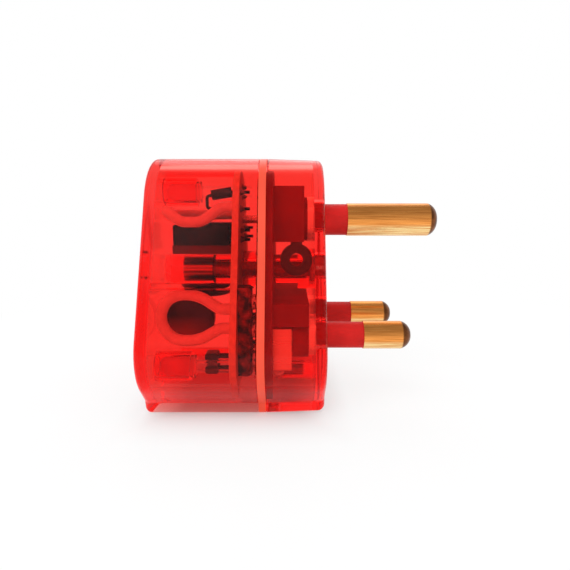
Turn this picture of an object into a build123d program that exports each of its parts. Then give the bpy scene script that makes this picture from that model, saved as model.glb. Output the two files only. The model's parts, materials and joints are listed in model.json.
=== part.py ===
from build123d import *
import os
from math import cos, radians, sin, tan

# A rewireable three-pin plug in a clear red housing, with a small surge board inside.
# Millimetres. The origin is on the mating face, midway between the two power pins.
# X runs along the pins towards their tips, Z up towards the earth pin.

os.makedirs("parts", exist_ok=True)

# Pins
pin_spacing = 25.4
earth_rise = 28.58
earth_pin_dia = 8.7
power_pin_dia = 7.05
earth_pin_reach = 30.8
power_pin_reach = 21.9
earth_sleeve_reach = 6.8
power_sleeve_reach = 10.0
sleeve_wall = 0.7
sleeve_recess = 0.2
nose_length = 2.3
nose_arc_radius = 3.4
nose_flat_share = 0.42
flange_rim = 1.7
flange_thickness = 1.4

# Outline of the housing, seen along the pins
top_height = 44.5
crown_radius = 15.0
flank_lean = 23.0
shoulder_radius = 12.0
ridge_half_width = 21.3
ridge_drop = 14.8
ridge_radius = 0.7
foot_half_width = 20.3
foot_drop = 17.8
foot_radius = 0.9
undercut_angle = 45.0

# Housing along the pins
front_depth = 14.4
seam_thickness = 1.8
cover_depth = 28.0
wall = 2.6
front_draft = 2.0
outer_edge_radius = 1.6
rim_chamfer = 0.25
lip_width = 1.5

# Clearances
slip_gap = 0.1
loose_gap = 0.2
cut_margin = 1.0

# Cover screw and its pillars
pillar_rise = 15.1
pillar_radius = 3.9
pillar_base_radius = 5.4
pillar_base_length = 3.9
pillar_joint = 29.0
board_shoulder_radius = 4.8
screw_radius = 2.0
screw_head_radius = 3.4
screw_head_height = 2.6
screw_slot_width = 1.0
screw_slot_depth = 1.1
screw_sink = 0.6
insert_radius = 2.8
insert_length = 8.0
screw_end_gap = 1.0

# Circuit board
board_front = 21.1
board_thickness = 1.6
board_edge_gap = 0.5
board_bottom_trim = 2.2
board_notch_half_width = 10.0
board_notch_drop = 7.0
lead_radius = 0.4
lead_hole_radius = 0.5
lead_stub = 2.4
lead_seat = 0.5
solder_radius = 0.95
solder_height = 1.1

# Carrier behind the pin flanges
carrier_plate = 1.6
carrier_edge_gap = 0.4
earth_block_top = 8.6
earth_block_bottom = 5.6
earth_block_half_width = 7.0
earth_collar_radius = 5.75
earth_collar_length = 0.9
bridge_bottom = 3.4
bridge_top = 9.0
bridge_half_width = 18.6
power_collar_radius = 5.6
power_collar_back = 8.0

# Terminals
block_front = 8.2
block_back = 14.2
block_half_width = 4.5
block_top = 3.0
block_bottom = 8.4
block_edge = 0.5
link_drop = 2.5
link_radius = 1.2
link_hole_radius = 1.3
link_hole_depth = 3.6
link_lead_radius = 0.6
link_seat = 1.0
clamp_screw_radius = 1.5
clamp_head_radius = 2.3
clamp_head_height = 1.9
clamp_slot_width = 0.7
clamp_slot_depth = 0.8
earth_barrel_back = 13.8
earth_barrel_radius = 4.1
earth_link_depth = 6.0
earth_clamp_inset = 4.0

# Cord entry and grip
cord_hole_radius = 4.2
saddle_half_width = 9.0
saddle_top = 8.8
saddle_bottom = 13.6
grip_bar_thickness = 1.9
grip_bar_half_width = 9.0
grip_bar_edge_radius = 1.0
grip_screw_spacing = 13.0
grip_screw_radius = 1.4
grip_head_radius = 2.4
grip_head_height = 1.3
grip_screw_depth = 6.0

# Board parts
lamp_body_radius = 2.5
lamp_flange_radius = 2.9
lamp_flange_thickness = 1.0
lamp_body_length = 8.0
lamp_lead_gap = 2.54
lamp_tube_radius = 3.8
lamp_tube_length = 8.6
lower_lamp_rise = -7.2
lower_lamp_side = -16.4
strip_length = 21.5
strip_pitch = 7.0
strip_depth = 3.4
strip_near = -19.9
strip_far = -14.8
strip_middle = 2.4
strip_edge = 0.5
strip_rib_inset = 0.8
strip_rib_thickness = 0.9
strip_head_radius = 1.9
strip_head_height = 0.8
case_length = 14.0
case_standoff = 1.4
case_height = 5.2
case_near = -9.0
case_far = 7.0
case_edge_radius = 0.5
case_lead_inset = 2.0
case_lead_margin = 1.4
tray_thickness = 2.1
tray_rim = 0.3
tray_corner_radius = 0.6
disc_radius = 6.6
disc_thickness = 3.8
disc_side = -10.2
disc_rise = 4.0
disc_centre = 34.3
disc_lead_pitch = 5.0
disc_lead_share = 0.6
disc_edge_radius = 1.2
flat_disc_radius = 7.0
flat_disc_thickness = 2.4
flat_disc_rise = 9.3
flat_disc_side = 2.0
flat_disc_centre = 31.5
flat_disc_edge_radius = 0.8
bead_length = 3.4
bead_height = 2.2
bead_near = -14.4
bead_far = -11.0
bead_centre = 28.3
upper_bead_rise = -5.6
lower_bead_rise = -9.0
bead_edge_radius = 0.7
bead_lead_gap = 1.8
diode_radius = 1.3
diode_length = 5.0
diode_side = -7.0
diode_drop = 0.2
diode_tilt = 9.0
diode_board_gap = 0.6
diode_lead_pitch = 4.2
diode_tail_run = 1.3
diode_bend_radius = 0.8

# Insulated wires behind the board
upper_wire_radius = 1.35
upper_wire_near = -10.4
upper_wire_near_climb = 2.4
upper_wire_near_run = 2.7
upper_wire_near_bend = 4.0
dip_front = 30.6
dip_back = 35.8
dip_drop = 1.4
dip_bend = 5.0
wire_crest_climb = 1.8
wire_crest_side = -9.0
wire_crest_bend = 3.5
crossing_side = -3.0
crossing_bend = 2.6
upper_wire_back = 39.8
upper_wire_far = 5.4
upper_wire_far_bend = 6.0
lower_wire_radius = 1.4
loop_side = -16.6
loop_middle = 5.0
loop_hole_pitch = 4.8
loop_top = 11.0
loop_bottom = -0.5
loop_front = 31.0
loop_back = 40.0
loop_run = 2.9
loop_bend = 5.6
loop_neck_bend = 9.5
loop_hole_bend = 3.0

# Shares of the free height over the pillar that lie between the parts stacked there
tray_gap_share = 0.21
wire_gap_share = 0.16
tube_gap_share = 0.2
crown_rib_share = 0.38

# Earth tag and the ribs that hold the board
tag_radius = 4.2
tag_hole_radius = 1.7
tag_thickness = 0.8
tag_drop = 10.28
tag_near = -6.4
tag_stem_width = 3.0
rib_thickness = 1.4
rib_height = 2.0
rib_root = 0.6
side_rib_rise = 13.5
foot_rib_side = 12.0

# Stations along X that follow from the sizes above
seam_front_x = -front_depth
seam_back_x = seam_front_x - seam_thickness
rear_x = seam_back_x - cover_depth
face_inside_x = -wall
rear_inside_x = rear_x + wall
seam_middle_x = (seam_front_x + seam_back_x) / 2
flange_back_x = face_inside_x - flange_thickness
board_front_x = -board_front
board_back_x = board_front_x - board_thickness
foot_inside_z = -foot_drop + wall
tag_centre = wall + tag_radius + slip_gap
tag_rise = earth_rise - tag_drop

# Heights of the parts stacked between the pillar and the crown
pillar_top = pillar_rise + pillar_radius
stacked_height = tray_thickness + case_height + 2 * upper_wire_radius + 2 * lamp_tube_radius
free_height = top_height - wall - pillar_top - stacked_height
tray_bottom = pillar_top + free_height * tray_gap_share
case_bottom = tray_bottom + tray_thickness
case_top = case_bottom + case_height
upper_wire_rise = case_top + free_height * wire_gap_share + upper_wire_radius
upper_lamp_rise = (
    upper_wire_rise + upper_wire_radius + free_height * tube_gap_share + lamp_tube_radius
)
crown_rib_height = free_height * crown_rib_share
diode_rise = upper_lamp_rise - diode_drop

pin_axes = {
    "earth": (0.0, earth_rise),
    "line": (-pin_spacing / 2, 0.0),
    "neutral": (pin_spacing / 2, 0.0),
}


# Shared shapes


def housing_outline(x, inset=0.0):
    """The housing's outline across X, drawn in from the outer surface by the inset."""
    lean = radians(flank_lean)
    crown_z = top_height - crown_radius
    flank_y = crown_radius * cos(lean)
    flank_z = crown_z + crown_radius * sin(lean)
    run = flank_y - ridge_half_width + flank_z * tan(lean)
    run_z = -ridge_drop * tan(radians(undercut_angle))
    shoulder_z = (run + run_z) / (tan(lean) + tan(radians(undercut_angle)))
    shoulder_y = flank_y + (flank_z - shoulder_z) * tan(lean)
    with BuildSketch(Plane.YZ.offset(x)) as outline:
        with BuildLine():
            CenterArc((0, crown_z), crown_radius, flank_lean, 90 - flank_lean)
            FilletPolyline(
                (flank_y, flank_z),
                (shoulder_y, shoulder_z),
                (ridge_half_width, -ridge_drop),
                (foot_half_width, -foot_drop),
                (0, -foot_drop),
                radius=[shoulder_radius, ridge_radius, foot_radius],
            )
            mirror(about=Plane.YZ)
        make_face()
        if inset > 0:
            offset(amount=-inset, kind=Kind.INTERSECTION)
    return outline.sketch


def prism(x_from, x_to, inset=0.0, mode=Mode.ADD):
    """Add or cut the housing's outline between two stations."""
    extrude(housing_outline(x_from, inset), amount=x_to - x_from, mode=mode)


def rod(x_from, x_to, y, z, radius, mode=Mode.ADD):
    """Add or cut a round rod that runs along X between two stations."""
    with BuildSketch(Plane.YZ.offset(x_from)) as section:
        with Locations((y, z)):
            Circle(radius)
    extrude(section.sketch, amount=x_to - x_from, mode=mode)


def slab(x_from, x_to, y_from, y_to, z_from, z_to, mode=Mode.ADD):
    """Add or cut a rectangular bar that runs along X between two stations."""
    with BuildSketch(Plane.YZ.offset(x_from)) as section:
        with Locations(((y_from + y_to) / 2, (z_from + z_to) / 2)):
            Rectangle(y_to - y_from, z_to - z_from)
    extrude(section.sketch, amount=x_to - x_from, mode=mode)


def post(x, y, z_from, z_to, radius, mode=Mode.ADD):
    """Add or cut a round post that stands along Z."""
    with BuildSketch(Plane.XY.offset(z_from)) as section:
        with Locations((x, y)):
            Circle(radius)
    extrude(section.sketch, amount=z_to - z_from, mode=mode)


def lead(y, z, x_from, x_to=board_front_x + lead_stub):
    """Add a straight tinned lead that runs through the board."""
    rod(x_from, x_to, y, z, lead_radius)


def bent_tube(points, radii, radius):
    """Sweep a round section along straight runs joined by tangent arcs."""
    with BuildLine() as route:
        FilletPolyline(*points, radius=radii)
    start = Plane(route.line @ 0, z_dir=route.line % 0)
    with BuildSketch(start) as section:
        Circle(radius)
    sweep(section.sketch, path=route.line)


def save(piece, name):
    """Label a finished piece and write its file."""
    piece.part.label = name
    export_step(piece.part, f"parts/{name}.step")


# Places on the board where a lead passes through

case_lead_y = (case_near + case_lead_inset, case_far - case_lead_inset)
case_lead_z = (case_bottom + case_lead_margin, case_top - case_lead_margin)
case_leads = [(y, z) for y in case_lead_y for z in case_lead_z]
disc_leads = [
    (disc_side, disc_rise - disc_lead_pitch / 2),
    (disc_side, disc_rise + disc_lead_pitch / 2),
]
flat_disc_leads = [
    (flat_disc_side - disc_lead_pitch / 2, flat_disc_rise),
    (flat_disc_side + disc_lead_pitch / 2, flat_disc_rise),
]
bead_middle = (bead_near + bead_far) / 2
bead_leads = [
    (bead_middle + side * bead_lead_gap / 2, z)
    for z in (upper_bead_rise, lower_bead_rise)
    for side in (-1, 1)
]
upper_lamp_leads = [
    (0.0, upper_lamp_rise - lamp_lead_gap / 2),
    (0.0, upper_lamp_rise + lamp_lead_gap / 2),
]
lower_lamp_leads = [
    (lower_lamp_side, lower_lamp_rise - lamp_lead_gap / 2),
    (lower_lamp_side, lower_lamp_rise + lamp_lead_gap / 2),
]
diode_return_rise = diode_rise - diode_lead_pitch
diode_leads = [(diode_side, diode_rise), (diode_side, diode_return_rise)]
strip_rises = [strip_middle + step * strip_pitch for step in (-1, 0, 1)]
open_leads = (
    case_leads
    + disc_leads
    + flat_disc_leads
    + bead_leads
    + upper_lamp_leads
    + diode_leads
)
link_places = {
    "earth": (0.0, earth_rise),
    "line": (-pin_spacing / 2, -link_drop),
    "neutral": (pin_spacing / 2, -link_drop),
}


# Front shell

with BuildPart() as front_shell:
    # The outside narrows by its draft towards the mating face
    extrude(housing_outline(seam_front_x), amount=front_depth, taper=front_draft)
    front_edges = front_shell.faces().sort_by(Axis.X)[-1].edges()
    fillet(front_edges, outer_edge_radius)
    rim_edges = front_shell.faces().sort_by(Axis.X)[0].edges()
    chamfer(rim_edges, rim_chamfer)
    prism(seam_front_x, face_inside_x, inset=wall, mode=Mode.SUBTRACT)
    # Screw pillar, with a wide base and a shoulder that meets the board
    rod(face_inside_x - pillar_base_length, face_inside_x, 0, pillar_rise, pillar_base_radius)
    rod(-pillar_joint, face_inside_x, 0, pillar_rise, pillar_radius)
    rod(board_front_x, seam_back_x - lip_width, 0, pillar_rise, board_shoulder_radius)
    # Saddle that the cord is clamped against
    saddle_back_x = seam_middle_x + cord_hole_radius
    slab(
        saddle_back_x,
        face_inside_x,
        -saddle_half_width,
        saddle_half_width,
        -saddle_bottom,
        -saddle_top,
    )
    # Holes for the pins, the cover screw, the grip screws and the cord
    for name, (y, z) in pin_axes.items():
        hole_dia = earth_pin_dia if name == "earth" else power_pin_dia
        rod(face_inside_x, 0, y, z, hole_dia / 2 + slip_gap, mode=Mode.SUBTRACT)
    rod(
        -screw_sink - screw_head_height,
        0,
        0,
        pillar_rise,
        screw_head_radius + loose_gap,
        mode=Mode.SUBTRACT,
    )
    rod(-pillar_joint, 0, 0, pillar_rise, screw_radius + loose_gap, mode=Mode.SUBTRACT)
    grip_rise = -(saddle_top + saddle_bottom) / 2
    for side in (-1, 1):
        rod(
            saddle_back_x,
            saddle_back_x + grip_screw_depth + loose_gap,
            side * grip_screw_spacing / 2,
            grip_rise,
            grip_screw_radius + slip_gap / 2,
            mode=Mode.SUBTRACT,
        )
    post(seam_middle_x, 0, -foot_drop - cut_margin, -saddle_bottom, cord_hole_radius, Mode.SUBTRACT)
save(front_shell, "front_shell")


# Seam gasket between the two shells

with BuildPart() as seam_gasket:
    prism(seam_back_x, seam_front_x)
    prism(seam_back_x, seam_front_x, inset=wall + lip_width, mode=Mode.SUBTRACT)
    post(seam_middle_x, 0, -foot_drop - cut_margin, -saddle_top, cord_hole_radius, Mode.SUBTRACT)
save(seam_gasket, "seam_gasket")


# Rear cover

with BuildPart() as rear_cover:
    prism(rear_x, seam_back_x)
    rear_edges = rear_cover.faces().sort_by(Axis.X)[0].edges()
    fillet(rear_edges, outer_edge_radius)
    mouth_edges = rear_cover.faces().sort_by(Axis.X)[-1].edges()
    chamfer(mouth_edges, rim_chamfer)
    prism(rear_inside_x, seam_back_x, inset=wall, mode=Mode.SUBTRACT)
    # Pillar that holds the threaded insert
    rod(rear_inside_x, -pillar_joint, 0, pillar_rise, pillar_radius)
    rod(
        -pillar_joint - insert_length,
        -pillar_joint,
        0,
        pillar_rise,
        insert_radius,
        mode=Mode.SUBTRACT,
    )
    # Ribs that the back of the board rests on
    side_rib_y = (
        crown_radius * cos(radians(flank_lean))
        + (
            top_height
            - crown_radius
            + crown_radius * sin(radians(flank_lean))
            - side_rib_rise
        )
        * tan(radians(flank_lean))
        - wall
    )
    for side in (-1, 1):
        near, far = sorted((side * (side_rib_y - rib_height), side * (side_rib_y + rib_root)))
        slab(
            rear_inside_x,
            board_back_x,
            near,
            far,
            side_rib_rise - rib_thickness / 2,
            side_rib_rise + rib_thickness / 2,
        )
        slab(
            rear_inside_x,
            board_back_x,
            side * foot_rib_side - rib_thickness / 2,
            side * foot_rib_side + rib_thickness / 2,
            foot_inside_z,
            foot_inside_z + rib_height + board_bottom_trim,
        )
    slab(
        rear_inside_x,
        board_back_x,
        -rib_thickness / 2,
        rib_thickness / 2,
        top_height - wall - crown_rib_height,
        top_height - wall + rib_root,
    )
    # Tubes that hold the two indicator lamps
    lamp_places = [(0.0, upper_lamp_rise), (lower_lamp_side, lower_lamp_rise)]
    for y, z in lamp_places:
        rod(rear_inside_x, rear_inside_x + lamp_tube_length, y, z, lamp_tube_radius)
        rod(
            rear_inside_x,
            rear_inside_x + lamp_tube_length,
            y,
            z,
            lamp_body_radius + slip_gap,
            mode=Mode.SUBTRACT,
        )
    post(seam_middle_x, 0, -foot_drop - cut_margin, -saddle_top, cord_hole_radius, Mode.SUBTRACT)
save(rear_cover, "rear_cover")


# Brass pins, each turned in one piece with its terminal


def pin_axis_plane(y, z):
    """A plane through a pin's axis, with its own x along the pin and its y up."""
    return Plane(origin=(0, y, z), x_dir=(1, 0, 0), z_dir=(0, -1, 0))


def turned_pin(y, z, dia, reach, sleeve_reach, root_x, root_radius):
    """Turn a pin with a reduced neck for its sleeve, a flange and a root."""
    radius = dia / 2
    neck = radius - sleeve_wall
    with BuildSketch(pin_axis_plane(y, z)) as profile:
        with BuildLine():
            Polyline(
                (reach, 0),
                (root_x, 0),
                (root_x, root_radius),
                (flange_back_x, root_radius),
                (flange_back_x, radius + flange_rim),
                (face_inside_x, radius + flange_rim),
                (face_inside_x, neck),
                (sleeve_reach, neck),
                (sleeve_reach, radius),
                (reach - nose_length, radius),
            )
            RadiusArc(
                (reach - nose_length, radius),
                (reach, radius * nose_flat_share),
                nose_arc_radius,
            )
            Line((reach, radius * nose_flat_share), (reach, 0))
        make_face()
    revolve(profile.sketch, axis=Axis((0, y, z), (1, 0, 0)))


with BuildPart() as earth_pin:
    earth_y, earth_z = pin_axes["earth"]
    turned_pin(
        earth_y,
        earth_z,
        earth_pin_dia,
        earth_pin_reach,
        earth_sleeve_reach,
        -earth_barrel_back,
        earth_barrel_radius,
    )
    earth_link_end_x = -earth_barrel_back + earth_link_depth
    rod(
        -earth_barrel_back,
        earth_link_end_x,
        earth_y,
        earth_z,
        link_hole_radius,
        mode=Mode.SUBTRACT,
    )
    earth_clamp_x = -earth_barrel_back + earth_clamp_inset
    post(
        earth_clamp_x,
        earth_y,
        earth_z - earth_barrel_radius - cut_margin,
        earth_z,
        clamp_screw_radius + slip_gap / 2,
        Mode.SUBTRACT,
    )
save(earth_pin, "earth_pin")

for pin_name in ("line", "neutral"):
    pin_y, pin_z = pin_axes[pin_name]
    with BuildPart() as power_pin:
        turned_pin(
            pin_y,
            pin_z,
            power_pin_dia,
            power_pin_reach,
            power_sleeve_reach,
            -block_front,
            power_pin_dia / 2 - sleeve_wall,
        )
        slab(
            -block_back,
            -block_front,
            pin_y - block_half_width,
            pin_y + block_half_width,
            pin_z - block_bottom,
            pin_z + block_top,
        )
        long_edges = power_pin.edges().filter_by(Axis.X)
        chamfer(long_edges, block_edge)
        rod(
            -block_back,
            -block_back + link_hole_depth,
            pin_y,
            pin_z - link_drop,
            link_hole_radius,
            mode=Mode.SUBTRACT,
        )
        post(
            -block_back + link_hole_depth / 2,
            pin_y,
            pin_z - block_bottom,
            pin_z - link_drop,
            clamp_screw_radius + slip_gap / 2,
            Mode.SUBTRACT,
        )
    save(power_pin, f"{pin_name}_pin")


# Insulating sleeves at the roots of the pins


def sleeve_profile(y, z, dia, sleeve_reach):
    """Turn a sleeve that fills the neck of its pin, just under flush with the brass."""
    outer = dia / 2 - sleeve_recess
    inner = dia / 2 - sleeve_wall
    with BuildSketch(pin_axis_plane(y, z)) as profile:
        with BuildLine():
            Polyline(
                (face_inside_x, inner),
                (sleeve_reach, inner),
                (sleeve_reach, outer),
                (face_inside_x, outer),
                close=True,
            )
        make_face()
    revolve(profile.sketch, axis=Axis((0, y, z), (1, 0, 0)))


for pin_name, (pin_y, pin_z) in pin_axes.items():
    is_earth = pin_name == "earth"
    with BuildPart() as sleeve:
        sleeve_profile(
            pin_y,
            pin_z,
            earth_pin_dia if is_earth else power_pin_dia,
            earth_sleeve_reach if is_earth else power_sleeve_reach,
        )
    save(sleeve, f"{pin_name}_sleeve")


# Carrier that holds the pin flanges against the face

with BuildPart() as pin_carrier:
    plate_front_x = seam_front_x + carrier_plate
    prism(seam_front_x, plate_front_x, inset=wall + carrier_edge_gap)
    # Window for the cord's conductors and the power terminals
    slab(
        seam_front_x,
        plate_front_x,
        -bridge_half_width,
        bridge_half_width,
        -foot_drop,
        bridge_bottom,
        mode=Mode.SUBTRACT,
    )
    # Stepped block round the root of the earth pin
    collar_back_x = flange_back_x
    step_x = collar_back_x - earth_collar_length
    slab(
        seam_front_x,
        step_x,
        -earth_block_half_width,
        earth_block_half_width,
        earth_rise - earth_block_bottom,
        earth_rise + earth_block_top,
    )
    rod(step_x, collar_back_x, 0, earth_rise, earth_collar_radius)
    # Bridge over the power terminals, with a collar on each pin
    slab(
        plate_front_x,
        flange_back_x,
        -bridge_half_width,
        bridge_half_width,
        bridge_bottom,
        bridge_top,
    )
    for pin_name in ("line", "neutral"):
        pin_y, pin_z = pin_axes[pin_name]
        rod(-power_collar_back, flange_back_x, pin_y, pin_z, power_collar_radius)
        rod(
            -power_collar_back,
            flange_back_x,
            pin_y,
            pin_z,
            power_pin_dia / 2 - sleeve_wall + slip_gap,
            mode=Mode.SUBTRACT,
        )
    rod(
        seam_front_x,
        collar_back_x,
        0,
        earth_rise,
        earth_barrel_radius + slip_gap,
        mode=Mode.SUBTRACT,
    )
    post(
        earth_clamp_x,
        0,
        earth_rise - earth_block_bottom,
        earth_rise,
        clamp_head_radius + loose_gap,
        Mode.SUBTRACT,
    )
    rod(
        seam_front_x,
        flange_back_x,
        0,
        pillar_rise,
        pillar_radius + loose_gap,
        mode=Mode.SUBTRACT,
    )
save(pin_carrier, "pin_carrier")


# Terminal screws


def clamp_screw(x, y, tip_z, seat_z):
    """A slotted cheese-head screw that points up, with its head below the seat."""
    post(x, y, seat_z, tip_z, clamp_screw_radius)
    post(x, y, seat_z - clamp_head_height, seat_z, clamp_head_radius)
    slab(
        x - clamp_head_radius,
        x + clamp_head_radius,
        y - clamp_slot_width / 2,
        y + clamp_slot_width / 2,
        seat_z - clamp_head_height,
        seat_z - clamp_head_height + clamp_slot_depth,
        mode=Mode.SUBTRACT,
    )


for pin_name, (pin_y, pin_z) in pin_axes.items():
    link_y, link_z = link_places[pin_name]
    if pin_name == "earth":
        clamp_x = earth_clamp_x
        clamp_seat_z = pin_z - earth_barrel_radius
    else:
        clamp_x = -block_back + link_hole_depth / 2
        clamp_seat_z = pin_z - block_bottom
    with BuildPart() as terminal_screw:
        clamp_screw(clamp_x, pin_y, link_z - link_radius, clamp_seat_z)
    save(terminal_screw, f"{pin_name}_terminal_screw")


# Stiff links from the pins to the board

for pin_name, (link_y, link_z) in link_places.items():
    link_tip_x = earth_link_end_x if pin_name == "earth" else -block_back + link_hole_depth
    with BuildPart() as link:
        rod(board_front_x, link_tip_x, link_y, link_z, link_radius)
        rod(board_back_x - link_seat, board_front_x, link_y, link_z, link_lead_radius)
    save(link, f"{pin_name}_link")


# Circuit board

with BuildPart() as circuit_board:
    prism(board_back_x, board_front_x, inset=wall + board_edge_gap)
    slab(
        board_back_x,
        board_front_x,
        -foot_half_width,
        foot_half_width,
        -foot_drop,
        foot_inside_z + board_bottom_trim,
        mode=Mode.SUBTRACT,
    )
    slab(
        board_back_x,
        board_front_x,
        -board_notch_half_width,
        board_notch_half_width,
        -foot_drop,
        -board_notch_drop,
        mode=Mode.SUBTRACT,
    )
    rod(
        board_back_x,
        board_front_x,
        0,
        pillar_rise,
        pillar_radius + loose_gap,
        mode=Mode.SUBTRACT,
    )
    for y, z in open_leads + lower_lamp_leads:
        rod(board_back_x, board_front_x, y, z, lead_hole_radius, mode=Mode.SUBTRACT)
    for y, z in link_places.values():
        rod(
            board_back_x,
            board_front_x,
            y,
            z,
            link_lead_radius + slip_gap,
            mode=Mode.SUBTRACT,
        )
save(circuit_board, "circuit_board")


# Solder joints on the front of the board

with BuildPart() as solder_joints:
    for y, z in open_leads:
        with BuildSketch(pin_axis_plane(y, z)) as fillet_profile:
            with BuildLine():
                Polyline(
                    (board_front_x, lead_radius),
                    (board_front_x, solder_radius),
                    (board_front_x + solder_height, lead_radius),
                    close=True,
                )
            make_face()
        revolve(fillet_profile.sketch, axis=Axis((0, y, z), (1, 0, 0)))
save(solder_joints, "solder_joints")


# Terminal strip on the front of the board

strip_front_x = board_front_x + strip_depth
with BuildPart() as terminal_strip:
    slab(
        board_front_x,
        strip_front_x,
        strip_near,
        strip_far,
        strip_middle - strip_length / 2,
        strip_middle + strip_length / 2,
    )
    chamfer(terminal_strip.faces().sort_by(Axis.X)[-1].edges(), strip_edge)
    # Ribs between the three ways
    for step in (-0.5, 0.5):
        slab(
            strip_front_x - slip_gap,
            strip_front_x + strip_head_height,
            strip_near + strip_rib_inset,
            strip_far - strip_rib_inset,
            strip_middle + step * strip_pitch - strip_rib_thickness / 2,
            strip_middle + step * strip_pitch + strip_rib_thickness / 2,
        )
save(terminal_strip, "terminal_strip")

with BuildPart() as strip_screws:
    for z in strip_rises:
        rod(
            strip_front_x,
            strip_front_x + strip_head_height,
            (strip_near + strip_far) / 2,
            z,
            strip_head_radius,
        )
        slab(
            strip_front_x + strip_head_height / 2,
            strip_front_x + strip_head_height,
            strip_near,
            strip_far,
            z - clamp_slot_width / 2,
            z + clamp_slot_width / 2,
            mode=Mode.SUBTRACT,
        )
save(strip_screws, "strip_screws")


# Potted filter case in its tray

case_front_x = board_back_x - case_standoff
case_back_x = case_front_x - case_length
with BuildPart() as filter_case:
    slab(case_back_x, case_front_x, case_near, case_far, case_bottom, case_top)
    fillet(filter_case.edges().filter_by(Axis.Y), case_edge_radius)
    for y, z in case_leads:
        lead(y, z, case_front_x - lead_seat)
save(filter_case, "filter_case")

with BuildPart() as filter_tray:
    slab(
        case_back_x - tray_rim,
        board_back_x,
        case_near - tray_rim,
        case_far + tray_rim,
        tray_bottom,
        case_bottom,
    )
    fillet(filter_tray.edges().filter_by(Axis.Z), tray_corner_radius)
save(filter_tray, "filter_tray")


# Disc varistors, one upright and one lying flat

with BuildPart() as upright_varistor:
    upright_plane = Plane(
        origin=(-disc_centre, disc_side + disc_thickness / 2, disc_rise),
        x_dir=(1, 0, 0),
        z_dir=(0, -1, 0),
    )
    with BuildSketch(upright_plane) as upright_face:
        Circle(disc_radius)
    extrude(upright_face.sketch, amount=disc_thickness)
    fillet(upright_varistor.edges().filter_by(GeomType.CIRCLE), disc_edge_radius)
    for y, z in disc_leads:
        lead(y, z, -disc_centre + disc_radius * disc_lead_share)
save(upright_varistor, "upright_varistor")

with BuildPart() as flat_varistor:
    with BuildSketch(Plane.XY.offset(flat_disc_rise - flat_disc_thickness / 2)) as flat_face:
        with Locations((-flat_disc_centre, flat_disc_side)):
            Circle(flat_disc_radius)
    extrude(flat_face.sketch, amount=flat_disc_thickness)
    fillet(flat_varistor.edges().filter_by(GeomType.CIRCLE), flat_disc_edge_radius)
    for y, z in flat_disc_leads:
        lead(y, z, -flat_disc_centre + flat_disc_radius * disc_lead_share)
save(flat_varistor, "flat_varistor")


# Small bead capacitors

for bead_name, bead_rise in (("upper", upper_bead_rise), ("lower", lower_bead_rise)):
    with BuildPart() as bead:
        slab(
            -bead_centre - bead_length / 2,
            -bead_centre + bead_length / 2,
            bead_near,
            bead_far,
            bead_rise - bead_height / 2,
            bead_rise + bead_height / 2,
        )
        fillet(bead.edges().filter_by(Axis.Y), bead_edge_radius)
        for y, z in bead_leads:
            if z == bead_rise:
                lead(y, z, -bead_centre)
    save(bead, f"{bead_name}_bead_capacitor")


# Diode, tilted on its two leads

with BuildPart() as diode:
    diode_front_x = board_back_x - diode_board_gap
    slope_x = -cos(radians(diode_tilt))
    slope_z = -sin(radians(diode_tilt))
    diode_tail_x = diode_front_x + diode_length * slope_x
    diode_tail_z = diode_rise + diode_length * slope_z
    tilted = Plane(origin=(diode_front_x, diode_side, diode_rise), z_dir=(slope_x, 0, slope_z))
    with BuildSketch(tilted) as diode_section:
        Circle(diode_radius)
    extrude(diode_section.sketch, amount=diode_length)
    lead(diode_side, diode_rise, diode_front_x - lead_seat)
    # The tail lead leaves along the body, then turns down and back to the board
    tail_bend_x = diode_tail_x + diode_tail_run * slope_x
    bent_tube(
        [
            (diode_tail_x - lead_seat * slope_x, diode_side, diode_tail_z - lead_seat * slope_z),
            (tail_bend_x, diode_side, diode_tail_z + diode_tail_run * slope_z),
            (tail_bend_x, diode_side, diode_return_rise),
            (board_back_x - link_seat, diode_side, diode_return_rise),
        ],
        [diode_bend_radius, diode_bend_radius],
        lead_radius,
    )
    lead(diode_side, diode_return_rise, board_back_x - link_seat)
save(diode, "diode")


# Indicator lamps, whose lenses sit in the cover's tubes


def indicator_lamp(y, z, leads, lead_end_x):
    """A domed lamp on two leads, with its flange at the mouth of its tube."""
    tube_mouth_x = rear_inside_x + lamp_tube_length
    dome_x = tube_mouth_x - lamp_body_length + lamp_body_radius
    with BuildSketch(pin_axis_plane(y, z)) as profile:
        with BuildLine():
            Polyline(
                (dome_x - lamp_body_radius, 0),
                (tube_mouth_x + lamp_flange_thickness, 0),
                (tube_mouth_x + lamp_flange_thickness, lamp_flange_radius),
                (tube_mouth_x, lamp_flange_radius),
                (tube_mouth_x, lamp_body_radius),
                (dome_x, lamp_body_radius),
            )
            CenterArc((dome_x, 0), lamp_body_radius, 90, 90)
        make_face()
    revolve(profile.sketch, axis=Axis((0, y, z), (1, 0, 0)))
    for lead_y, lead_z in leads:
        lead(lead_y, lead_z, tube_mouth_x + lamp_flange_thickness / 2, lead_end_x)


with BuildPart() as upper_lamp:
    indicator_lamp(0.0, upper_lamp_rise, upper_lamp_leads, board_front_x + lead_stub)
save(upper_lamp, "upper_lamp")

with BuildPart() as lower_lamp:
    trimmed_end_x = board_front_x - loose_gap
    indicator_lamp(lower_lamp_side, lower_lamp_rise, lower_lamp_leads, trimmed_end_x)
save(lower_lamp, "lower_lamp")


# Insulated wire loops behind the board

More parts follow.
